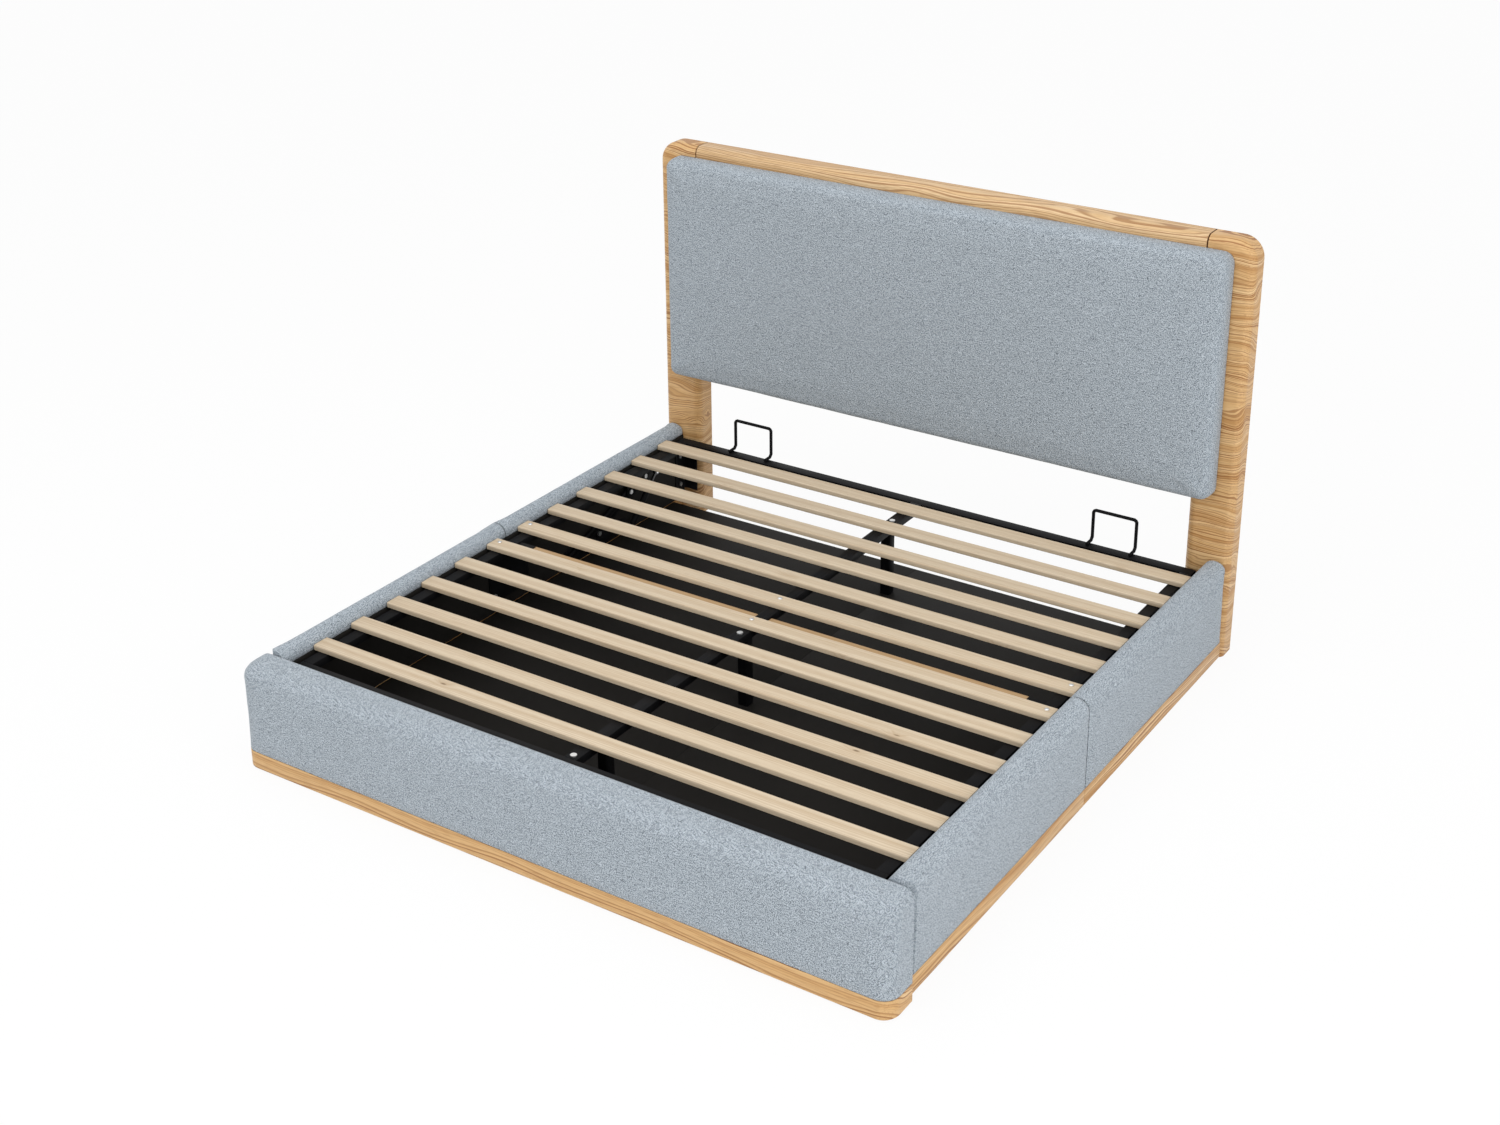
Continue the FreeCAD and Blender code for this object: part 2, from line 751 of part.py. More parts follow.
def wire_bend_points(corner, back, ahead):
    """Corners of the short runs that turn the wire through a right angle."""
    centre = corner + (back + ahead) * wire_bend
    step = math.pi / wire_bend_steps / 2
    reach = wire_bend / math.cos(step / 2)
    turns = [step * (i + 1 / 2) for i in range(wire_bend_steps)]
    return [centre - (ahead * math.cos(turn) + back * math.sin(turn)) * reach for turn in turns]


def mattress_stop():
    """Right wire loop: two feet on the head tube, a kink to the rear and an upright hoop."""
    inner, outer = tube_out * stop_share - stop_width / 2, tube_out * stop_share + stop_width / 2
    foot = tube_top + wire_radius + weld_gap
    side = [(stop_foot_back, foot), (stop_bend_back, foot), (stop_back, stop_kink), (stop_back, stop_top)]
    rise = [pivot(back, z, inner) for back, z in side]
    fall = [pivot(back, z, outer) for back, z in reversed(side)]
    points = rise[:-1] + wire_bend_points(rise[-1], Z * -1, X)
    points += wire_bend_points(fall[0], X * -1, Z * -1) + fall[1:]
    section = ring(points[0], Y, wire_radius, wire_sides)
    return Part.makePolygon(points).makePipeShell([section], True, False, 1)


def export(name, shape):
    """Write one named piece."""
    shape.exportStep("parts/" + name + ".step")


def export_sides(name, shape):
    """Write the left and the right copy of a piece."""
    export(name + "_left", mirrored(shape))
    export(name + "_right", shape)


def export_frame():
    """Write the pieces of the fixed frame."""
    export_sides("headboard_post", drilled(headboard_post()))
    export("headboard_top_rail", headboard_top_rail())
    export("headboard_lower_rail", headboard_lower_rail())
    export("headboard_panel", headboard_panel())
    export("headboard_pad", headboard_pad())
    export("footboard_core", mirrored(drilled(mirrored(drilled(footboard_core())))))
    export("footboard_pad", footboard_pad())
    export("footboard_plinth", footboard_plinth())
    for half in ("front", "rear"):
        export_sides("rail_core_" + half, drilled(rail_core(half)))
        export_sides("rail_pad_" + half, rail_pad(half))
        export_sides("rail_plinth_" + half, rail_plinth(half))
    export("rail_joint_plates", pair(rail_joint_plate()))
    corners = [corner_bracket(post_front, Y * -1), corner_bracket(foot_back, Y)]
    export("corner_brackets", Part.makeCompound(corners + [mirrored(corner) for corner in corners]))
    export("frame_bolts", frame_bolts())
    export("storage_floor", storage_floor())
    export("floor_bearers", floor_bearers())
    export("lift_base_plates", pair(lift_base_plate()))
    export("base_pivot_bolts", base_pivot_bolts())


def export_linkage():
    """Write the arms and gas struts."""
    export_sides("lift_arm", lift_arm())
    export_sides("stay_arm", stay_arm())
    export("stay_arm_pins", pair(stay_arm_pin()))
    export("strut_cylinders", pair(strut_cylinder()))
    export("strut_rods", pair(strut_rod()))


def export_platform():
    """Write the lifting platform."""
    export("side_tubes", pair(tube_along(tube_in, tube_out, foot_tube_rear, head_tube_front, False)))
    export("centre_tube", centre_tube())
    export("head_tube", tube_along(-tube_out, tube_out, head_tube_front, head_tube_rear, True))
    export("foot_tube", tube_along(-tube_out, tube_out, foot_tube_front, foot_tube_rear, True))
    export("lift_brackets", pair(lift_plate()))
    export("platform_pivot_bolts", platform_pivot_bolts())
    export("cross_battens", pair(cross_batten()))
    export("batten_brackets", pair(batten_end_bracket()))
    export("centre_legs", Part.makeCompound([centre_leg(share) for share in leg_shares]))
    export("centre_tube_bolts", Part.makeCompound([tube_bolt(share) for share in tube_bolt_shares]))
    export_sides("mattress_stop", mattress_stop())
    for index in range(slat_count):
        export("slat_{:02d}".format(index + 1), slat(index))
    export("slat_screws", slat_screws())


os.makedirs("parts", exist_ok=True)
export_frame()
export_linkage()
export_platform()
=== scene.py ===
from collections import namedtuple

import bmesh
import bpy
import numpy as np
from mathutils import Matrix, Vector, noise


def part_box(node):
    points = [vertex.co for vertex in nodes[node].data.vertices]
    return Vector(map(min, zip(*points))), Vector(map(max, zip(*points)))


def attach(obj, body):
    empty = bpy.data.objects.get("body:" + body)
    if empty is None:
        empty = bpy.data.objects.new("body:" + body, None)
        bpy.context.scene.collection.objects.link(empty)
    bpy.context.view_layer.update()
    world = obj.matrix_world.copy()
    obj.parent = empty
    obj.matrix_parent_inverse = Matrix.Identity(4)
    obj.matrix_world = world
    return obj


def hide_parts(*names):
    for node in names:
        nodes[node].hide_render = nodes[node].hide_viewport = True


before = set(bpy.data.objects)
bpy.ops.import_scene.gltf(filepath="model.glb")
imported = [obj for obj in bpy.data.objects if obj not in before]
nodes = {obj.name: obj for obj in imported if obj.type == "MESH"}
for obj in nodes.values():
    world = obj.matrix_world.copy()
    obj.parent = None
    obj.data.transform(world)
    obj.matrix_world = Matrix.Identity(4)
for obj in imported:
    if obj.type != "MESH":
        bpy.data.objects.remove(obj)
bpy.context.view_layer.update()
scene = bpy.context.scene
scene.view_settings.view_transform = "Standard"

# Camera at the photograph's viewing angle, solved from the straight edges of the bed
camera_place = Vector((3.1049, -4.7491, 3.3462))
camera_right = Vector((0.83582, 0.54894, -0.00765))
camera_down = Vector((0.20288, -0.32179, -0.92482))
camera_forward = Vector((-0.51013, 0.77143, -0.38033))
lens = bpy.data.cameras.new("photo_camera")
lens.sensor_fit = "HORIZONTAL"
lens.sensor_width = 36.0
lens.lens = 50.78
lens.shift_y = -0.1083
camera = bpy.data.objects.new("photo_camera", lens)
turn = Matrix((camera_right, -camera_down, -camera_forward)).transposed()
camera.matrix_world = Matrix.Translation(camera_place) @ turn.to_4x4()
scene.collection.objects.link(camera)
scene.camera = camera


def add(tree, kind, inputs=None, **settings):
    """New shader node with its settings and with values or links for its inputs."""
    node = tree.nodes.new(kind)
    for key, value in settings.items():
        setattr(node, key, value)
    for key, value in (inputs or {}).items():
        if isinstance(value, bpy.types.NodeSocket):
            tree.links.new(value, node.inputs[key])
        else:
            node.inputs[key].default_value = value
    return node


def math_node(tree, operation, first, second=0.0):
    """Result of one sum on one or two numbers or sockets."""
    return add(tree, "ShaderNodeMath", {0: first, 1: second}, operation=operation).outputs[0]


def product(tree, first, second):
    """First times second."""
    return math_node(tree, "MULTIPLY", first, second)


def total(tree, first, second):
    """First plus second."""
    return math_node(tree, "ADD", first, second)


def vector_node(tree, operation, first, second):
    """Result of one sum on two vectors."""
    return add(tree, "ShaderNodeVectorMath", {0: first, 1: second}, operation=operation).outputs[0]


def speckle(tree, place, scale, detail, roughness=0.5):
    """Noise in space, with its scale in cells to the metre."""
    inputs = {"Vector": place, "Scale": scale, "Detail": detail, "Roughness": roughness}
    return add(tree, "ShaderNodeTexNoise", inputs).outputs


def layers(tree, level, scale, detail, roughness=0.5):
    """Noise along one measure only, so that it is the same all over a layer."""
    inputs = {"W": level, "Scale": scale, "Detail": detail, "Roughness": roughness}
    return add(tree, "ShaderNodeTexNoise", inputs, noise_dimensions="1D").outputs["Fac"]


def ramp(tree, factor, *stops):
    """Colour ramp with a stop for each (place, colour)."""
    node = add(tree, "ShaderNodeValToRGB", {0: factor})
    elements = node.color_ramp.elements
    while len(elements) < len(stops):
        elements.new(0.5)
    for element, (place, colour) in zip(elements, stops):
        element.position = place
        element.color = (*colour, 1.0)
    return node.outputs[0]


def blend(tree, factor, first, second):
    """Mix of a colour socket and a second colour."""
    inputs = {0: factor, 6: first, 7: (*second, 1.0)}
    return add(tree, "ShaderNodeMix", inputs, data_type="RGBA").outputs[2]


def spread(tree, value, low, high, start=0.0, end=1.0):
    """Value stretched from one range to another and held inside it."""
    inputs = {"Value": value, "From Min": low, "From Max": high, "To Min": start, "To Max": end}
    return add(tree, "ShaderNodeMapRange", inputs).outputs[0]


def shade(colour, factor):
    """Colour made darker by a factor."""
    return tuple(channel * factor for channel in colour)


def new_material(name):
    """Empty node material with its tree, shader and object coordinates."""
    material = bpy.data.materials.new(name)
    material.use_nodes = True
    tree = material.node_tree
    shader = tree.nodes["Principled BSDF"]
    place = add(tree, "ShaderNodeTexCoord").outputs["Object"]
    return material, tree, shader, place


def finish_surface(tree, shader, colour, roughness, height, strength, distance):
    """Colour, roughness and bump led to the shader."""
    inputs = {"Height": height, "Strength": strength, "Distance": distance}
    bump = add(tree, "ShaderNodeBump", inputs)
    tree.links.new(colour, shader.inputs["Base Color"])
    tree.links.new(roughness, shader.inputs["Roughness"])
    tree.links.new(bump.outputs[0], shader.inputs["Normal"])


def boucle():
    """Pale blue-grey looped cloth: small even curls with painted shade in the gaps between them and painted
    light on their crests, and fuzzy yarn.
    """
    curl_rate = (1150.0, 1150.0, 1150.0)
    curl_lean = (0.6, 0.4, 0.9)
    wander = (0.014, 0.014, 0.014)
    # The darkest and lightest tones are painted shade in the gaps and painted light on the crests; the middle
    # one is the yarn's colour
    painted_gap_shade = (0.118, 0.138, 0.158)
    loop = (0.346, 0.394, 0.440)
    painted_crest_light = (0.543, 0.598, 0.648)
    material, tree, shader, place = new_material("boucle_cloth")
    sway = speckle(tree, place, 70.0, 1.0)["Color"]
    sway = vector_node(tree, "SUBTRACT", sway, (0.5, 0.5, 0.5))
    bent = vector_node(tree, "ADD", place, vector_node(tree, "MULTIPLY", sway, wander))
    inputs = {"Vector": bent, "Rotation": curl_lean, "Scale": curl_rate}
    turned = add(tree, "ShaderNodeMapping", inputs).outputs[0]
    axes = add(tree, "ShaderNodeSeparateXYZ", {0: turned}).outputs
    curl = 0.0
    for axis in range(3):
        rise = math_node(tree, "SINE", axes[axis])
        fall = math_node(tree, "COSINE", axes[(axis + 1) % 3])
        curl = total(tree, product(tree, rise, fall), curl)
    yarn = speckle(tree, bent, 420.0, 1.0)["Fac"]
    pile = total(tree, product(tree, curl, 0.5), product(tree, yarn, 0.4))
    tone = spread(tree, pile, -0.58, 0.98)
    # Colour follows the bump height: painted shade darkens the gaps between loops and painted light brightens
    # their crests
    colour = ramp(tree, tone, (0.0, painted_gap_shade), (0.5, loop), (1.0, painted_crest_light))
    roughness = spread(tree, pile, -0.5, 0.8, 0.98, 0.88)
    finish_surface(tree, shader, colour, roughness, pile, 0.2, 0.002)
    shader.inputs["Specular IOR Level"].default_value = 0.12
    shader.inputs["Sheen Weight"].default_value = 0.15
    shader.inputs["Sheen Roughness"].default_value = 0.5
    return material


def wood(name, grain, tones, run, figure, tilt, pitch, ink, knots, gloss, joint=9.0):
    """Sawn timber with its grain along one axis: wavy growth bands, thin dark lines, pores and knots.

    run is how slowly the figure changes along the grain, figure the scale and depth of its waves and tilt how
    far the bands lean over. pitch and ink are the spacing and strength of the lines, and knots the share of
    places with a knot. Past the last argument's distance from the middle, the wood lies in a recessed seam and
    is painted dark there as its shade."""
    dark, middle, light, deep = tones
    # Very dark tone for the knot cores, and for the painted shade in the recessed seam
    knot_core_and_seam_shade = shade(deep, 0.45)
    wave_scale, wave_depth = figure
    lot_offset = (7.3, 5.1, 3.7)
    material, tree, shader, place = new_material(name)

    def along_grain(with_it, across):
        """Place with the grain's axis drawn out."""
        factors = tuple(with_it if axis == grain else across for axis in range(3))
        return vector_node(tree, "MULTIPLY", place, factors)

    # Painted shade: past the given distance from the middle, the wood is coloured dark for the shade in the
    # recessed seam
    side = math_node(tree, "ABSOLUTE", add(tree, "ShaderNodeSeparateXYZ", {0: place}).outputs[0])
    seam_shade = math_node(tree, "GREATER_THAN", side, joint)
    # Each piece is cut from another place in the timber
    lot = add(tree, "ShaderNodeObjectInfo").outputs["Random"]
    lot = add(tree, "ShaderNodeCombineXYZ", {0: lot, 1: lot, 2: lot}).outputs[0]
    place = vector_node(tree, "ADD", place, vector_node(tree, "MULTIPLY", lot, lot_offset))

    knot = add(tree, "ShaderNodeTexVoronoi", {"Vector": along_grain(4.2, 11.0), "Scale": 1.0})
    chosen = add(tree, "ShaderNodeSeparateColor", {0: knot.outputs["Color"]}).outputs[0]
    chosen = math_node(tree, "LESS_THAN", chosen, knots)
    away = knot.outputs["Distance"]
    near = product(tree, spread(tree, away, 0.0, 0.22, 1.0, 0.0), chosen)
    core = product(tree, spread(tree, away, 0.02, 0.055, 1.0, 0.0), chosen)

    along = along_grain(run, 1.0)
    wave = speckle(tree, along, wave_scale, 1.5)["Fac"]
    ripple = speckle(tree, along, wave_scale * 4.0, 2.0)["Fac"]
    axes = add(tree, "ShaderNodeSeparateXYZ", {0: place}).outputs
    level = total(tree, axes[2], product(tree, axes[1 - grain], tilt))
    level = total(tree, level, product(tree, wave, wave_depth))
    level = total(tree, level, product(tree, ripple, wave_depth * 0.07))
    level = total(tree, level, product(tree, near, 0.02))

    tone = spread(tree, layers(tree, level, 34.0, 3.0, 0.55), 0.28, 0.72)
    thick = spread(tree, layers(tree, level, 17.0, 1.0), 0.35, 0.62, 0.4, 1.0)
    line = product(tree, spread(tree, layers(tree, level, pitch, 0.5), 0.50, 0.57), thick)
    pore = spread(tree, speckle(tree, along_grain(0.05, 1.0), 330.0, 2.0)["Fac"], 0.52, 0.66)

    colour = ramp(tree, tone, (0.0, dark), (0.42, middle), (1.0, light))
    colour = blend(tree, product(tree, line, ink), colour, deep)
    colour = blend(tree, product(tree, pore, 0.12 + ink * 0.25), colour, deep)
    colour = blend(tree, product(tree, near, 0.4), colour, deep)
    colour = blend(tree, product(tree, core, 0.85), colour, knot_core_and_seam_shade)
    # Painted shade in the recessed seam
    colour = blend(tree, seam_shade, colour, knot_core_and_seam_shade)
    roughness = spread(tree, tone, 0.0, 1.0, gloss + 0.08, gloss - 0.04)
    height = math_node(tree, "SUBTRACT", product(tree, line, -0.5), pore)
    finish_surface(tree, shader, colour, roughness, height, 0.2, 0.0005)
    shader.inputs["Specular IOR Level"].default_value = 0.3
    return material


def painted_steel():
    """Black powder coat: faint grain and a satin sheen that varies."""
    material, tree, shader, place = new_material("powder_coat")
    grain = speckle(tree, place, 900.0, 2.0)["Fac"]
    cloud = speckle(tree, place, 14.0, 4.0)["Fac"]
    colour = ramp(tree, cloud, (0.3, (0.004, 0.004, 0.0045)), (0.75, (0.008, 0.008, 0.009)))
    roughness = spread(tree, cloud, 0.3, 0.7, 0.46, 0.58)
    finish_surface(tree, shader, colour, roughness, grain, 0.12, 0.0004)
    shader.inputs["Specular IOR Level"].default_value = 0.08
    return material


def lined_board():
    """Board with a dark fibre lining: flecked, with a dull sheen."""
    material, tree, shader, place = new_material("dark_lining")
    fleck = speckle(tree, place, 480.0, 4.0, 0.7)["Fac"]
    cloud = speckle(tree, place, 3.0, 3.0)["Fac"]
    tone = total(tree, product(tree, fleck, 0.6), product(tree, cloud, 0.4))
    colour = ramp(tree, tone, (0.3, (0.011, 0.010, 0.009)), (0.7, (0.022, 0.020, 0.018)))
    roughness = spread(tree, fleck, 0.3, 0.7, 0.62, 0.78)
    finish_surface(tree, shader, colour, roughness, fleck, 0.2, 0.0006)
    shader.inputs["Specular IOR Level"].default_value = 0.12
    return material


def bright_metal(name, colour, gloss, brush):
    """Bare metal with fine turning marks and small changes of gloss."""
    material, tree, shader, place = new_material(name)
    marks = speckle(tree, place, brush, 3.0)["Fac"]
    cloud = speckle(tree, place, 60.0, 3.0)["Fac"]
    tint = ramp(tree, cloud, (0.3, shade(colour, 0.82)), (0.7, colour))
    roughness = spread(tree, marks, 0.3, 0.7, gloss, gloss + 0.12)
    finish_surface(tree, shader, tint, roughness, marks, 0.08, 0.0002)
    shader.inputs["Metallic"].default_value = 1.0
    return material


# Tones of each timber: dark, middle and light bands, and the lines
oak_tones = ((0.52, 0.305, 0.135), (0.67, 0.450, 0.232), (0.77, 0.565, 0.335), (0.28, 0.115, 0.033))
post_tones = ((0.51, 0.275, 0.100), (0.665, 0.415, 0.185), (0.765, 0.525, 0.270), (0.28, 0.105, 0.027))
pine_tones = ((0.58, 0.46, 0.32), (0.63, 0.515, 0.37), (0.67, 0.56, 0.415), (0.40, 0.255, 0.13))
batten_tones = ((0.40, 0.245, 0.115), (0.47, 0.305, 0.155), (0.53, 0.355, 0.19), (0.30, 0.16, 0.065))
along_x, along_y = 0, 1
oak_cut = {"run": 0.16, "figure": (6.0, 0.16), "tilt": 0.55, "knots": 0.0, "gloss": 0.42}
post_cut = {**oak_cut, "run": 0.32, "tilt": 0.12}
pine_cut = {"run": 0.10, "figure": (6.0, 0.05), "tilt": 1.0, "gloss": 0.6}
# Distance from the middle where the top rail's painted seam shade begins
top_rail_seam_shade_from = 0.9262

cloth = boucle()
oak_cross = wood("oak_along_x", along_x, post_tones, pitch=175.0, ink=0.88, **oak_cut)
oak_top = wood("oak_of_top_rail", along_x, oak_tones, pitch=210.0, ink=0.8, joint=top_rail_seam_shade_from, **oak_cut)
oak_long = wood("oak_along_y", along_y, post_tones, pitch=175.0, ink=0.88, **oak_cut)
oak_post = wood("oak_of_posts", along_x, post_tones, pitch=215.0, ink=0.85, **post_cut)
pine_cross = wood("pine_along_x", along_x, pine_tones, pitch=230.0, ink=0.3, knots=0.5, **pine_cut)
pine_batten = wood("batten_along_x", along_x, batten_tones, pitch=260.0, ink=0.4, knots=0.2, **pine_cut)
finishes = {
    "oak": oak_cross,
    "pine": pine_cross,
    "lined_board": lined_board(),
    "black_steel": painted_steel(),
    "bolt_steel": bright_metal("zinc_steel", (0.86, 0.86, 0.85), 0.32, 700.0),
    "rod_steel": bright_metal("dark_rod", (0.10, 0.10, 0.105), 0.16, 1200.0),
}
own_finishes = {
    "headboard_post": oak_post,
    "headboard_top_rail": oak_top,
    "rail_plinth": oak_long,
    "cross_batten": pine_batten,
}
edge_rounds = {"oak": 0.0018, "pine": 0.0022, "lined_board": 0.0010, "black_steel": 0.0012}
weld_gap = 0.00002


def weld_points(piece):
    """Modifier that joins the facets of a solid along their edges."""
    weld = piece.modifiers.new("weld", "WELD")
    weld.merge_threshold = weld_gap


# Wood, steel and boards keep their solids and get a finish and slightly broken edges
for name, node in nodes.items():
    slot = node.data.materials[0].name.split(".")[0]
    if slot == "fabric":
        continue
    finish = finishes[slot]
    for prefix, own in own_finishes.items():
        if name.startswith(prefix):
            finish = own
    node.data.materials[0] = finish
    weld_points(node)
    if slot in edge_rounds:
        bevel = node.modifiers.new("edges", "BEVEL")
        bevel.width = edge_rounds[slot]
        bevel.segments = 2
        bevel.limit_method = "ANGLE"
        bevel.angle_limit = 0.7
        bevel.harden_normals = False
    for polygon in node.data.polygons:
        polygon.use_smooth = True
    if not name.startswith("slat_"):
        split = node.modifiers.new("corners", "EDGE_SPLIT")
        split.split_angle = 0.6

# Padded pieces: voxel size, smoothing passes, side that swells, how far it may swell, and the sides (axis, sign)
# where the cover is cut square against its neighbour
Pad = namedtuple("Pad", "voxel passes outward swell cuts")
back, front, bottom = (1, 1), (1, -1), (2, -1)
forward, leftward, rightward = (0.0, -1.0, 0.0), (-1.0, 0.0, 0.0), (1.0, 0.0, 0.0)
pads = {
    "headboard_pad": Pad(0.008, 4, forward, 0.004, [back]),
    "footboard_pad": Pad(0.007, 3, forward, 0.003, [bottom, back]),
    "rail_pad_front_left": Pad(0.007, 3, leftward, 0.006, [bottom, front, back]),
    "rail_pad_front_right": Pad(0.007, 3, rightward, 0.006, [bottom, front, back]),
    "rail_pad_rear_left": Pad(0.007, 3, leftward, 0.006, [bottom, front]),
    "rail_pad_rear_right": Pad(0.007, 3, rightward, 0.006, [bottom, front]),
}
overrun = 0.02
fade = 0.02
seam_gap = 0.0020
corner_depth = 0.028
corner_slant = (0.655, -0.756)
face_slack = 0.0001
cloth_frames = 20
broad_dents = (5.0, 0.0011)
small_dents = (17.0, 0.0005)


def vertex_array(mesh, field):
    """Places or normals of a mesh's points as rows."""
    values = np.zeros(len(mesh.vertices) * 3, np.float32)
    mesh.vertices.foreach_get(field, values)
    return values.reshape(-1, 3)


def side_of(name, axis, sign):
    """Place along an axis of one side of a node's box."""
    low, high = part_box(name)
    return (high if sign > 0 else low)[axis]


def blank(name, pad):
    """Copy of a padded solid that goes on past its cuts, rounded by remeshing and smoothing."""
    piece = bpy.data.objects.new(name + "_cover", nodes[name].data.copy())
    scene.collection.objects.link(piece)
    places = vertex_array(piece.data, "co")
    for axis, sign in pad.cuts:
        on_side = abs(places[:, axis] - side_of(name, axis, sign)) < face_slack
        places[on_side, axis] += sign * overrun
    piece.data.vertices.foreach_set("co", places.ravel())
    weld_points(piece)
    remesh = piece.modifiers.new("remesh", "REMESH")
    remesh.mode = "VOXEL"
    remesh.voxel_size = pad.voxel
    smooth = piece.modifiers.new("smooth", "SMOOTH")
    smooth.factor = 0.5
    smooth.iterations = pad.passes
    graph = bpy.context.evaluated_depsgraph_get()
    piece.data = bpy.data.meshes.new_from_object(piece.evaluated_get(graph))
    piece.modifiers.clear()
    return piece


def hold(piece, name, pad):
    """Share of each point that is free to swell: none on the inner faces and past the cuts."""
    places = vertex_array(piece.data, "co")
    facing = vertex_array(piece.data, "normal") @ np.array(pad.outward)
    free = np.clip(facing * 2.5 + 0.4, 0.0, 1.0)
    for axis, sign in pad.cuts:
        past = (places[:, axis] - side_of(name, axis, sign)) * sign
        free *= np.clip(-past / fade, 0.0, 1.0)
    return free


def inflate(pieces):
    """Pressure inside each cover, run as cloth for a few frames with its inner faces held."""
    for piece, free in pieces:
        group = piece.vertex_groups.new(name="held")
        for index, share in enumerate(free):
            group.add([index], float(1.0 - share), "REPLACE")
        cloth_run = piece.modifiers.new("cloth", "CLOTH")
        settings = cloth_run.settings
        settings.quality = 3
        settings.mass = 0.3
        settings.tension_stiffness = 25.0
        settings.compression_stiffness = 25.0
        settings.shear_stiffness = 10.0
        settings.bending_stiffness = 1.0
        settings.air_damping = 2.0
        settings.vertex_group_mass = "held"
        settings.use_pressure = True
        settings.uniform_pressure_force = 4.0
        settings.effector_weights.gravity = 0.0
        cloth_run.collision_settings.use_collision = False
        cloth_run.point_cache.frame_start = 1
        cloth_run.point_cache.frame_end = cloth_frames
    for frame_number in range(1, cloth_frames + 1):
        scene.frame_set(frame_number)
    graph = bpy.context.evaluated_depsgraph_get()
    moved = []
    for piece, _ in pieces:
        swollen = piece.evaluated_get(graph).to_mesh()
        moved.append(vertex_array(swollen, "co") - vertex_array(piece.data, "co"))
    for piece, _ in pieces:
        piece.modifiers.clear()
        piece.vertex_groups.clear()
    scene.frame_set(1)
    return moved


def dent(place):
    """Small unevenness of the filling at a place."""
    return sum(noise.noise(Vector(place) * scale) * depth for scale, depth in (broad_dents, small_dents))


def slice_off(body, place, facing):
    """Part of a mesh beyond a plane taken away, and the opening closed with flat faces."""
    everything = body.verts[:] + body.edges[:] + body.faces[:]
    bmesh.ops.bisect_plane(body, geom=everything, plane_co=place, plane_no=facing, clear_outer=True)
    rim = [edge for edge in body.edges if edge.is_boundary]
    closing = bmesh.ops.triangle_fill(body, edges=rim, use_beauty=True, normal=facing)["geom"]
    for face in closing:
        if isinstance(face, bmesh.types.BMFace):
            face.smooth = False


def dress(piece, name, pad, move, free):
    """Swollen cover, gently uneven, cut square at its joints and finished in cloth."""
    mesh = piece.data
    places = vertex_array(mesh, "co")
    normals = vertex_array(mesh, "normal")
    dents = np.array([dent(place) for place in places])
    places = places + move + normals * (dents * free)[:, None]
    mesh.vertices.foreach_set("co", places.astype(np.float32).ravel())
    mesh.update()
    mesh.polygons.foreach_set("use_smooth", [True] * len(mesh.polygons))
    body = bmesh.new()
    body.from_mesh(mesh)
    for axis, sign in pad.cuts:
        side = [0.0, 0.0, 0.0]
        side[axis] = side_of(name, axis, sign) - sign * seam_gap
        facing = [0.0, 0.0, 0.0]
        facing[axis] = sign
        slice_off(body, side, facing)
    if name.startswith("rail_pad_front"):
        # The outer end turns in behind the footboard
        low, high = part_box(name)
        outer = max(abs(low[0]), abs(high[0])) * pad.outward[0]
        corner = Vector((outer, low[1] + corner_depth, 0.0))
        slice_off(body, corner, Vector((pad.outward[0] * corner_slant[0], corner_slant[1], 0.0)))
    body.to_mesh(mesh)
    body.free()
    mesh.materials.clear()
    mesh.materials.append(cloth)
    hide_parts(name)
    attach(piece, "bed_frame")


blanks = []
for name, pad in pads.items():
    piece = blank(name, pad)
    blanks.append((piece, hold(piece, name, pad)))
moves = inflate(blanks)
for (name, pad), (piece, free), move in zip(pads.items(), blanks, moves):
    length = np.linalg.norm(move, axis=1)[:, None] + 1e-9
    move = move * (pad.swell * np.tanh(length / pad.swell) / length)
    dress(piece, name, pad, move, free)


def seen_directly(tree):
    """One for what the camera sees, also in metal and through glass, and zero for other light."""
    rays = add(tree, "ShaderNodeLightPath").outputs
    seen = math_node(tree, "MAXIMUM", rays["Is Camera Ray"], rays["Is Glossy Ray"])
    return math_node(tree, "MAXIMUM", seen, rays["Is Transmission Ray"])


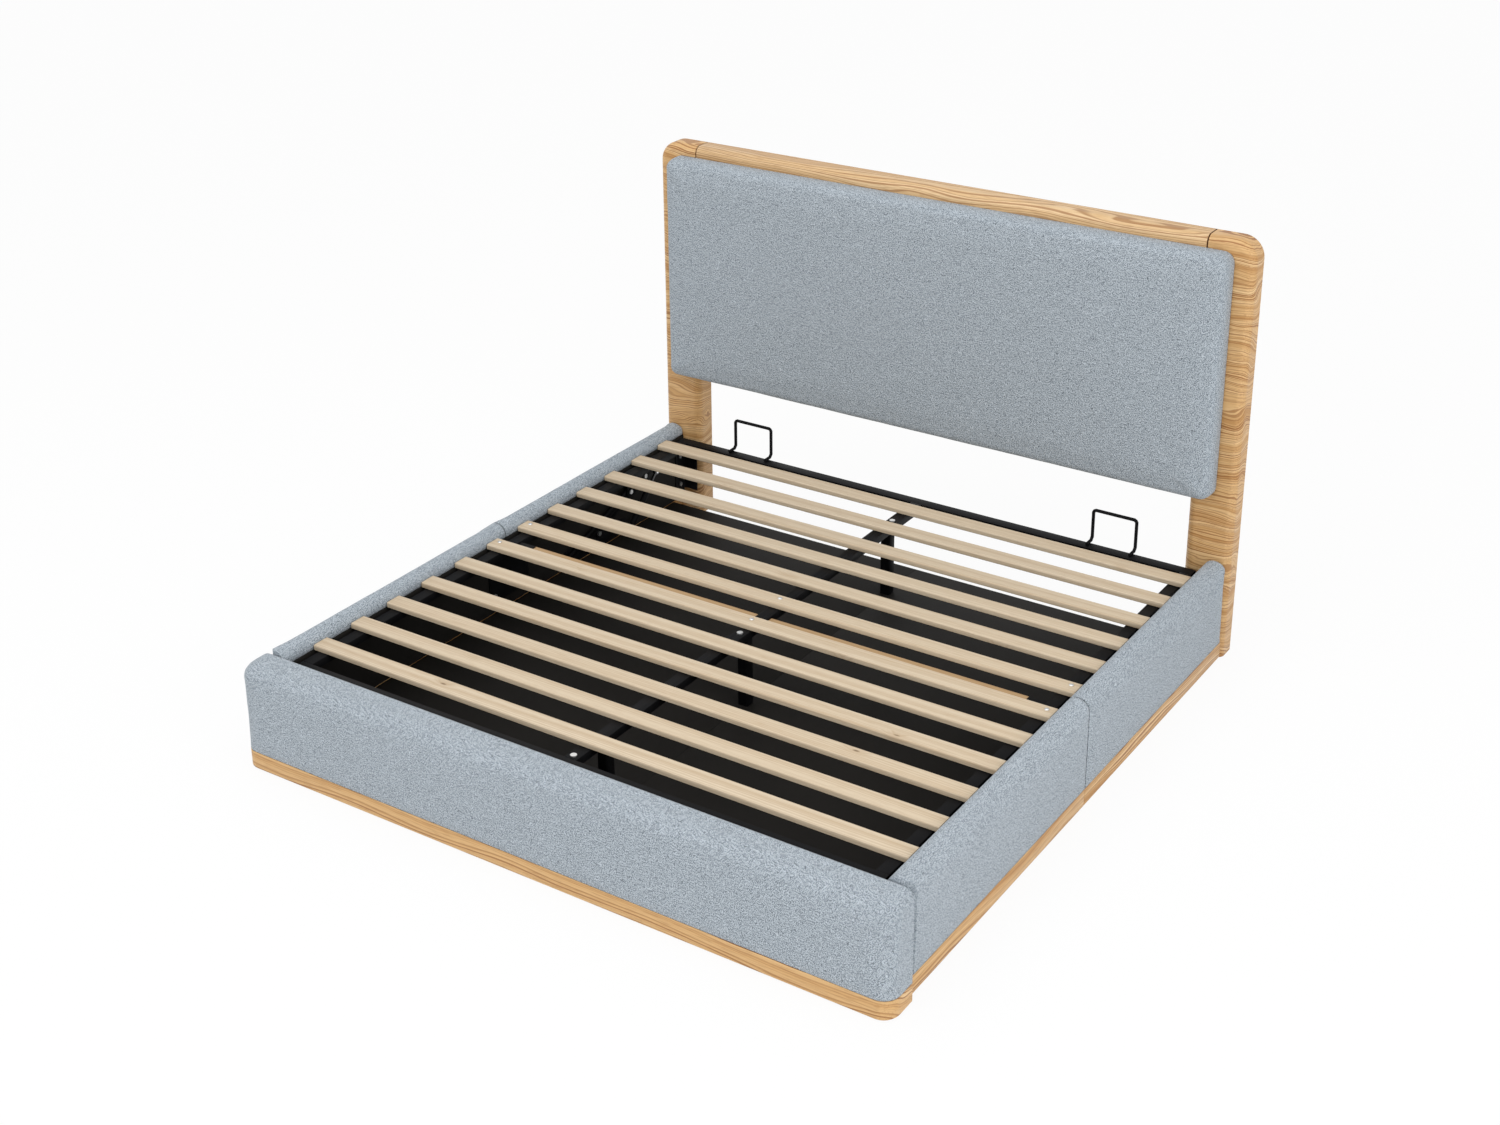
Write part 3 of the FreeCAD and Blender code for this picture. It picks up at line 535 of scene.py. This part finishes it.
# Pale floor that the camera sees as near white, with the shadow of the bed
floor_reach = 30.0
floor_glow = 0.92
corners = [(x * floor_reach, y * floor_reach, 0.0) for x, y in ((-1, -1), (1, -1), (1, 1), (-1, 1))]
floor_mesh = bpy.data.meshes.new("studio_floor")
floor_mesh.from_pydata(corners, [], [(0, 1, 2, 3)])
floor = bpy.data.objects.new("studio_floor", floor_mesh)
scene.collection.objects.link(floor)
paper = bpy.data.materials.new("studio_paper")
paper.use_nodes = True
tree = paper.node_tree
tree.nodes.clear()
matte = add(tree, "ShaderNodeBsdfDiffuse", {"Color": (0.88, 0.88, 0.88, 1.0)}).outputs[0]
glow = add(tree, "ShaderNodeEmission", {"Color": (1.0, 1.0, 1.0, 1.0), "Strength": 1.0}).outputs[0]
share = product(tree, seen_directly(tree), floor_glow)
mixed = add(tree, "ShaderNodeMixShader", {0: share, 1: matte, 2: glow}).outputs[0]
add(tree, "ShaderNodeOutputMaterial", {"Surface": mixed})
floor_mesh.materials.append(paper)

# White studio surround, which lights the bed a little less than it shows
surround_light, surround_seen = 0.78, 1.0
world = bpy.data.worlds.new("studio")
world.use_nodes = True
scene.world = world
tree = world.node_tree
sky = tree.nodes["Background"]
sky.inputs["Color"].default_value = (1.0, 1.0, 1.0, 1.0)
strength = spread(tree, seen_directly(tree), 0.0, 1.0, surround_light, surround_seen)
tree.links.new(strength, sky.inputs["Strength"])


def soft_box(name, place, aim, size, power):
    """Large square lamp that faces a point."""
    data = bpy.data.lights.new(name, "AREA")
    data.shape = "SQUARE"
    data.size = size
    data.energy = power
    lamp = bpy.data.objects.new(name, data)
    lamp.location = place
    lamp.rotation_euler = (Vector(aim) - Vector(place)).to_track_quat("-Z", "Y").to_euler()
    scene.collection.objects.link(lamp)


soft_box("overhead_lamp", (-0.6, -1.2, 4.6), (0.0, 0.0, 0.3), 4.0, 60.0)
soft_box("front_lamp", (0.2, -5.2, 3.0), (0.0, 0.0, 0.6), 3.0, 45.0)
soft_box("right_lamp", (5.0, -1.6, 2.6), (0.0, 0.0, 0.4), 3.0, 70.0)
